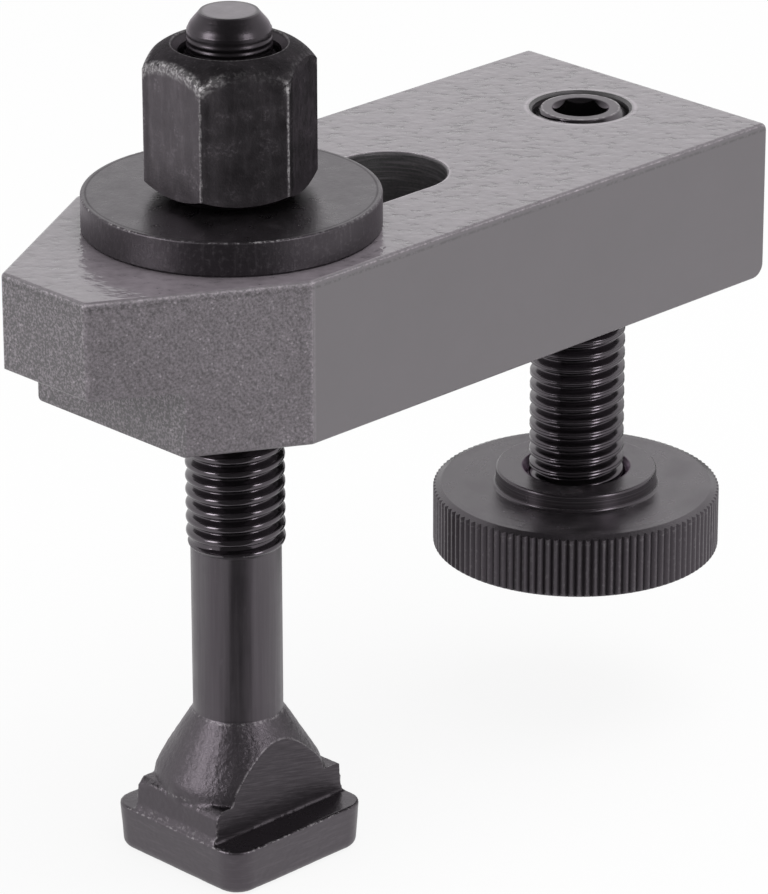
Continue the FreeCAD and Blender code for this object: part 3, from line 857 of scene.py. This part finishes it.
@dataclass
class ScrewThread:
    """A right-hand thread on an upright rod, held between an outer and an inner limit.

    Sizes are in millimetres. A limit is a list of heights and radii with straight runs between.
    The crest is rolled: two lips with a shallow groove between them.
    """

    outer_limit: list[Pair]
    inner_limit: list[Pair]
    crest_height: float
    axis_x: float = 0.0
    pitch: float = 1.75
    crest_radius: float = 5.93
    root_radius: float = 4.98
    steps: int = 72
    lip: tuple[Pair, ...] = (
        (0.0, 0.0), (0.055, 0.03), (0.12, 0.18), (0.21, 0.58), (0.28, 0.86), (0.335, 0.98), (0.39, 1.0),
        (0.445, 0.93),
    )
    groove: float = 0.895

    def profile(self) -> list[Pair]:
        """One pitch of the thread from root to root, as radii and heights."""
        shares = [*self.lip, (0.5, self.groove)]
        shares += [(1.0 - share, rise) for share, rise in reversed(self.lip)]
        depth = self.crest_radius - self.root_radius
        return [(self.root_radius + depth * rise, self.pitch * share) for share, rise in shares]

    @staticmethod
    def limit(runs: list[Pair], height: float) -> float:
        """Radius of a limit at a height."""
        if height <= runs[0][0]:
            return runs[0][1]
        for (low, start), (high, end) in zip(runs, runs[1:]):
            if height <= high:
                return start + (end - start) * (height - low) / (high - low)
        return runs[-1][1]

    def build(self, name: str) -> Piece:
        """Sweeps the profile up the rod, holds it between its limits and trims its ends.

        Args:
            name: the mesh's name.

        Returns:
            An open tube, with a round rim at each end.
        """
        low, high = self.outer_limit[0][0] + GAP, self.outer_limit[-1][0] - GAP
        below = math.ceil((self.crest_height - low) / self.pitch) + 1
        start = self.crest_height - self.pitch * (below + 0.5)
        points = self.profile()
        deselect()
        bpy.ops.mesh.primitive_plane_add(size=MM, location=(0, 0, 0))
        piece = bpy.context.object
        piece.name = name
        with editing():
            bpy.ops.mesh.merge(type="CENTER")
            bpy.ops.transform.translate(value=(points[0][0] * MM, 0, start * MM))
            for (radius, height), (next_radius, next_height) in zip(points, points[1:]):
                step = ((next_radius - radius) * MM, 0, (next_height - height) * MM)
                bpy.ops.mesh.extrude_region_move(TRANSFORM_OT_translate={"value": step})
        apply(
            piece, "SCREW", angle=2 * math.pi, screw_offset=self.pitch * MM, steps=self.steps,
            render_steps=self.steps, iterations=math.ceil((high - start) / self.pitch) + 1,
        )
        with editing():
            bpy.ops.mesh.remove_doubles(threshold=WELD)
        for vertex in piece.data.vertices:
            radius, height = math.hypot(vertex.co.x, vertex.co.y) / MM, vertex.co.z / MM
            least, most = self.limit(self.inner_limit, height), self.limit(self.outer_limit, height)
            held = min(max(radius, least), most)
            vertex.co.x *= held / radius
            vertex.co.y *= held / radius
        cut_level(piece, low, Keep.ABOVE)
        cut_level(piece, high, Keep.BELOW)
        piece.location.x = self.axis_x * MM
        bpy.ops.object.transform_apply(location=True, rotation=False, scale=False)
        return piece


@dataclass
class TeeBolt:
    """The T-slot bolt: its head forged, its stem with a real thread."""

    node: str = "tee_bolt"
    base: float = -5.9
    head_cut: float = 14.5
    head_spare: float = 2.0
    thread_base: float = 33.9
    thread_top: float = 98.0
    grid: float = 0.205
    neck_top: float = 3.9
    neck_end_x: float = -10.1
    flare_top: float = 12.6
    finish: BoltSteel = BoltSteel()

    def build(self) -> Piece:
        """Makes the bolt and dresses it."""
        stem = merged_copy(frame["nodes"][self.node], "threaded_tee_bolt")
        head = self.forged_head(stem)
        cut_level(stem, self.head_cut + GAP, Keep.ABOVE)
        low, high = self.thread_base * MM, self.thread_top * MM
        for height in (self.thread_base, self.thread_top):
            cut_level(stem, height, Keep.BOTH)
        delete_faces(stem, lambda face: low < face.center.z < high)
        thread = ScrewThread(
            crest_height=43.75,
            lip=(
                (0.0, 0.0), (0.055, 0.03), (0.12, 0.18), (0.2, 0.52), (0.27, 0.78), (0.34, 0.92),
                (0.42, 0.985),
            ),
            groove=1.0,
            outer_limit=[
                (33.9, 5.43), (34.5, 5.93), (94.17, 5.93), (95.15, 5.0), (95.7, 4.86), (96.0, 4.97),
                (96.35, 4.84), (96.75, 4.95), (97.1, 4.84), (97.5, 4.9), (98.0, 4.9),
            ],
            inner_limit=[
                (33.9, 5.43), (34.2, 5.43), (35.9, 4.98), (94.6, 4.98), (95.4, 4.8), (96.9, 4.8),
                (97.5, 4.9), (98.0, 4.9),
            ],
        ).build("bolt_thread")
        bridge([stem, head, thread], [self.head_cut, self.thread_base, self.thread_top])
        dress(stem, "tee_bolt", self.node, self.finish)
        return stem

    def forged_head(self, whole: Piece) -> Piece:
        """The head on a fine even grid, with the forging's waves, pits and chipped ledge.

        Args:
            whole: the whole bolt, which stays as it is.

        Returns:
            The head, open at the cut.
        """
        head = copied(whole, "bolt_head")
        cut_level(head, self.head_cut + self.head_spare, Keep.BELOW, fill=True)
        apply(head, "REMESH", mode="VOXEL", voxel_size=self.grid * MM, adaptivity=0.0)
        apply(head, "SMOOTH", factor=0.5, iterations=1)
        shifts = [self.shift(vertex.co / MM, vertex.normal) for vertex in head.data.vertices]
        for vertex, shift in zip(head.data.vertices, shifts):
            vertex.co += shift * MM
            vertex.co.z = max(vertex.co.z, self.base * MM)
        cut_level(head, self.head_cut, Keep.BELOW)
        return head

    def shift(self, at: Vector, facing: Vector) -> Vector:
        """How far the forging moves a point of the head.

        Args:
            at: the point, in millimetres.
            facing: the surface's direction there.

        Returns:
            The move, in millimetres.
        """
        on_plate = at.z < 0.15
        on_side = abs(facing.y) > 0.93 and abs(at.y) > 6.8 and not on_plate
        fade = max(0.0, min(1.0, (self.flare_top - at.z) / 0.4))
        waves = noise.noise(at * 0.3 + Vector((3.1, 0.7, 5.3)))
        pits = noise.noise(at * 2.1)
        depth = 0.06 * waves + 0.035 * pits
        if on_plate:
            depth = -0.03 + 0.5 * depth
        if on_side:
            depth = 0.012 * pits
        move = facing * depth * fade
        end = at.x - self.neck_end_x
        drop = at.z - self.neck_top
        if abs(end) < 0.9 and abs(drop) < 0.9 and abs(at.y) < 7.2:
            move += self.torn_edge(at, end, drop)
        return move

    @staticmethod
    def torn_edge(at: Vector, end: float, drop: float) -> Vector:
        """The uneven edge of the ledge at the neck's nose end.

        Args:
            at: a point near that edge, in millimetres.
            end: how far behind the neck's end it lies.
            drop: how far above the ledge it lies.

        Returns:
            The move, in millimetres.
        """
        near = max(0.0, 1.0 - abs(end) / 0.9) * max(0.0, 1.0 - abs(drop) / 0.9)
        coarse = noise.noise(Vector((at.y * 0.8, 2.0, 0.0)))
        ripples = noise.noise(Vector((at.y * 2.3, 7.0, 0.0)))
        burr = max(0.0, 1.0 - abs(at.y - 0.6) / 1.2)
        step = max(0.0, min(1.0, (-0.3 - at.y) / 0.6))
        sag = 0.18 + 0.22 * coarse + 0.16 * ripples - 0.55 * burr + 0.42 * step
        if at.y > 5.2:
            sag += 0.4 * (at.y - 5.2)
        return Vector((0.25 * sag * near, 0.0, -0.9 * sag * near))


@dataclass
class SupportScrew:
    """The support screw: the source's socket and ends, with a real thread all along."""

    node: str = "support_screw"
    axis_x: float = SCREW_X
    base: float = 18.2
    top: float = 74.0
    end_radius: float = 4.7
    socket_radius: float = 2.98
    mouth_radius: float = 3.58
    finish: ScrewSteel = ScrewSteel()

    def build(self) -> Piece:
        """Makes the screw and dresses it."""
        piece = merged_copy(frame["nodes"][self.node], "threaded_support_screw")
        self.countersink(piece)
        delete_faces(piece, self.outer)
        thread = ScrewThread(
            axis_x=self.axis_x,
            crest_height=43.8,
            outer_limit=[(18.2, 4.83), (19.3, 5.93), (72.9, 5.93), (74.0, 4.83)],
            inner_limit=[(18.2, 4.83), (18.4, 4.98), (73.8, 4.98), (74.0, 4.83)],
        ).build("screw_thread")
        bridge([piece, thread], [self.base, self.top])
        dress(piece, "support_screw", self.node, self.finish)
        return piece

    def outer(self, face: bpy.types.MeshPolygon) -> bool:
        """Whether a face belongs to the screw's outside, between its two ends."""
        from_axis = math.hypot(face.center.x - self.axis_x * MM, face.center.y)
        return abs(face.normal.z) < 0.9 and from_axis > self.end_radius * MM

    def countersink(self, piece: Piece) -> None:
        """Breaks the socket's mouth round with a cone at 45 degrees."""
        past = 0.2
        depth = self.mouth_radius - self.socket_radius + past
        deselect()
        bpy.ops.mesh.primitive_cone_add(
            vertices=72, radius1=self.socket_radius * MM, radius2=(self.mouth_radius + past) * MM,
            depth=depth * MM, location=(self.axis_x * MM, 0, (self.top + past - depth / 2) * MM),
        )
        cone = bpy.context.object
        apply(piece, "BOOLEAN", operation="DIFFERENCE", solver="EXACT", object=cone)
        bpy.data.objects.remove(cone, do_unlink=True)


@dataclass
class CadPiece:
    """A piece whose solid has the right shape already, and gets a finish."""

    node: str
    slot: str
    finish: Finish

    def build(self) -> Piece:
        """Dresses the node."""
        piece = frame["nodes"][self.node]
        piece.data.materials.clear()
        piece.data.materials.append(self.finish.material())
        return piece


def direction(azimuth: float, elevation: float) -> Vector:
    """The direction from the clamp towards an azimuth and an elevation in degrees."""
    turn, rise = math.radians(azimuth), math.radians(elevation)
    return Vector((math.sin(turn) * math.cos(rise), -math.cos(turn) * math.cos(rise), math.sin(rise)))


@dataclass(frozen=True)
class SoftBox:
    """A lamp: degrees round and up, metres off, width and height in metres, power in watts."""

    name: str
    azimuth: float
    elevation: float
    distance: float
    size: Pair
    power: float
    seen_in_metal: bool = True
    lights_paint: bool = True


@dataclass
class Studio:
    """Camera, floor, world, lamps, and the dark cards that keep the steel black."""

    azimuth: float = -44.73
    elevation: float = 22.646
    roll: float = -0.101
    distance: float = 664.237
    aim: Triple = (20.0, 0.0, 50.0)
    offset: Pair = (3.924, -9.973)
    focal_pixels: float = 5547.267
    principal: Pair = (388.746, 454.786)
    image: tuple[int, int] = (768, 894)
    floor_z: float = -5.95
    sensor: float = 36.0
    sky: float = 0.60
    floor_grey: float = 0.50
    floor_glow: float = 0.88
    card_grey: float = 0.115
    card_clearance: float = 0.4
    centre: Triple = (0.02, 0.0, 0.045)

    def build(self) -> None:
        """Sets up everything round the clamp."""
        self.camera()
        self.world()
        self.floor()
        left, right = self.azimuth - 60.0, self.azimuth + 50.0
        self.lamp(SoftBox("overhead", 20.0, 76.0, 0.9, (0.9, 0.7), 4.4, seen_in_metal=False))
        self.lamp(SoftBox("left_box", left, 26.0, 0.55, (0.20, 0.30), 1.5, lights_paint=False))
        self.lamp(SoftBox("right_box", right, 26.0, 0.55, (0.14, 0.30), 0.88, lights_paint=False))
        self.card("front_card", self.azimuth, distance=0.62, width=1.05, heights=(-6.0, 700.0))
        self.card("rear_card", self.azimuth + 150.0, distance=0.24, width=0.34, heights=(-6.0, 40.0))
        roof = [(-0.60, 0.62), (0.60, 0.62), (0.60, -0.42), (-0.60, -0.42)]
        self.sheet("roof_card", 0.70, roof)
        before_bolt = [(0.012, 0.030), (0.55, 0.62), (-0.55, 0.62), (-0.012, 0.030)]
        self.sheet("floor_card", (self.floor_z + self.card_clearance) * MM, before_bolt)

    def camera(self) -> None:
        """Places the camera at the photograph's viewing angle."""
        back = direction(self.azimuth, self.elevation)
        level = (-back).cross(UP).normalized()
        upright = level.cross(-back)
        roll = math.radians(self.roll)
        right = level * math.cos(roll) + upright * math.sin(roll)
        up = upright * math.cos(roll) - level * math.sin(roll)
        data = bpy.data.cameras.new("camera")
        camera = placed("camera", data)
        place = Vector(self.aim) + back * self.distance + right * self.offset[0] + up * self.offset[1]
        turned = Matrix((right, up, back)).transposed().to_4x4()
        camera.matrix_world = Matrix.Translation(place * MM) @ turned
        longest = max(self.image)
        data.sensor_width = self.sensor
        data.lens = self.focal_pixels / longest * self.sensor
        data.shift_x = (self.image[0] / 2 - self.principal[0]) / longest
        data.shift_y = (self.principal[1] - self.image[1] / 2) / longest
        data.clip_start, data.clip_end = 0.05, 20.0
        bpy.context.scene.camera = camera

    def lamp(self, box: SoftBox) -> None:
        """Hangs a soft box that faces the clamp."""
        back = direction(box.azimuth, box.elevation)
        data = bpy.data.lights.new(box.name, "AREA")
        data.shape = "RECTANGLE"
        data.size, data.size_y = box.size
        data.energy = box.power
        lamp = placed(box.name, data)
        turned = back.to_track_quat("Z", "Y").to_matrix().to_4x4()
        lamp.matrix_world = Matrix.Translation(Vector(self.centre) + back * box.distance) @ turned
        lamp.visible_camera = False
        lamp.visible_glossy = box.seen_in_metal
        lamp.visible_diffuse = box.lights_paint

    def card(
        self, name: str, azimuth: float, distance: float, width: float, heights: Pair,
    ) -> None:
        """Stands a dark card upright.

        Args:
            name: the card's name.
            azimuth: where it stands, in degrees.
            distance: how far off it stands, in metres.
            width: its width, in metres.
            heights: its lower and upper edge, in millimetres.
        """
        out = direction(azimuth, 0.0)
        across = out.cross(UP) * (width / 2)
        foot = Vector((self.centre[0], 0.0, 0.0)) + out * distance
        low, high = (UP * height * MM for height in heights)
        corners = [foot - across + low, foot + across + low, foot + across + high, foot - across + high]
        self.dark(name, corners)

    def sheet(self, name: str, height: float, outline: list[Pair]) -> None:
        """Lays a dark card level.

        Args:
            name: the card's name.
            height: how high it lies, in metres.
            outline: its corners, to the right of the bolt and towards the camera, in metres.
        """
        out = direction(self.azimuth, 0.0)
        right = UP.cross(out)
        self.dark(name, [right * across + out * ahead + UP * height for across, ahead in outline])

    def dark(self, name: str, corners: list[Vector]) -> None:
        """Makes a dark card that only gloss shows, from its corners in order."""
        mesh = bpy.data.meshes.new(name)
        mesh.from_pydata([tuple(corner) for corner in corners], [], [tuple(range(len(corners)))])
        card = placed(name, mesh)
        shader = Shader(name)
        glow = shader.node("ShaderNodeEmission", {"Color": self.grey(self.card_grey)})
        card.data.materials.append(shader.end(glow))
        card.visible_camera = card.visible_diffuse = card.visible_shadow = card.visible_transmission = False

    @staticmethod
    def seen(shader: Shader) -> Value:
        """1 for a ray that shows the background: to the camera, or by way of gloss or glass."""
        outputs = shader.node("ShaderNodeLightPath").outputs
        camera, gloss, glass = (
            Value(shader, outputs[f"Is {kind} Ray"]) for kind in ("Camera", "Glossy", "Transmission")
        )
        return camera.larger(gloss).larger(glass)

    @staticmethod
    def grey(tone: float) -> tuple[float, ...]:
        """A grey as an opaque colour."""
        return (tone, tone, tone, 1.0)

    def world(self) -> None:
        """A pale world that shows as plain white."""
        shader = Shader("studio", "worlds")
        strength = self.sky + (1.0 - self.sky) * self.seen(shader)
        sky = shader.node("ShaderNodeBackground", {"Color": self.grey(1.0), "Strength": strength})
        bpy.context.scene.world = shader.end(sky)

    def floor(self) -> None:
        """A wide pale floor just under the head of the bolt, that shows as plain white."""
        deselect()
        bpy.ops.mesh.primitive_grid_add(
            x_subdivisions=8, y_subdivisions=8, size=8.0, location=(0, 0, self.floor_z * MM),
        )
        floor = bpy.context.object
        floor.name = "floor"
        bpy.ops.object.transform_apply(location=True, rotation=False, scale=False)
        shader = Shader("floor")
        tones = (self.floor_grey, 1.0)
        pale, bright = (shader.node("ShaderNodeBsdfDiffuse", {"Color": self.grey(tone)}) for tone in tones)
        glow = shader.node("ShaderNodeEmission", {"Color": self.grey(1.0), "Strength": 1.0})
        inputs = {0: self.floor_glow, 1: bright.outputs[0], 2: glow.outputs[0]}
        shown = shader.node("ShaderNodeMixShader", inputs)
        inputs = {0: self.seen(shader), 1: pale.outputs[0], 2: shown.outputs[0]}
        both = shader.node("ShaderNodeMixShader", inputs)
        floor.data.materials.append(shader.end(both))


def main() -> None:
    """Builds the studio, then each piece in order."""
    logging.basicConfig(level=logging.INFO, format="%(name)s: %(message)s")
    bpy.context.scene.view_settings.view_transform = "Standard"
    Studio().build()
    parts = [
        TeeBolt(),
        CadPiece("washer", "washer_steel", WasherSteel()),
        CadPiece("hex_nut", "nut_steel", NutSteel()),
        CadPiece("clamp_bar", "bar_paint", BarPaint()),
        SupportScrew(),
        CadPiece("knurled_foot", "foot_steel", FootSteel()),
    ]
    for part in parts:
        piece = part.build()
        LOG.info("%s: %d faces", piece.name, len(piece.data.polygons))


if __name__ == "__main__":
    main()
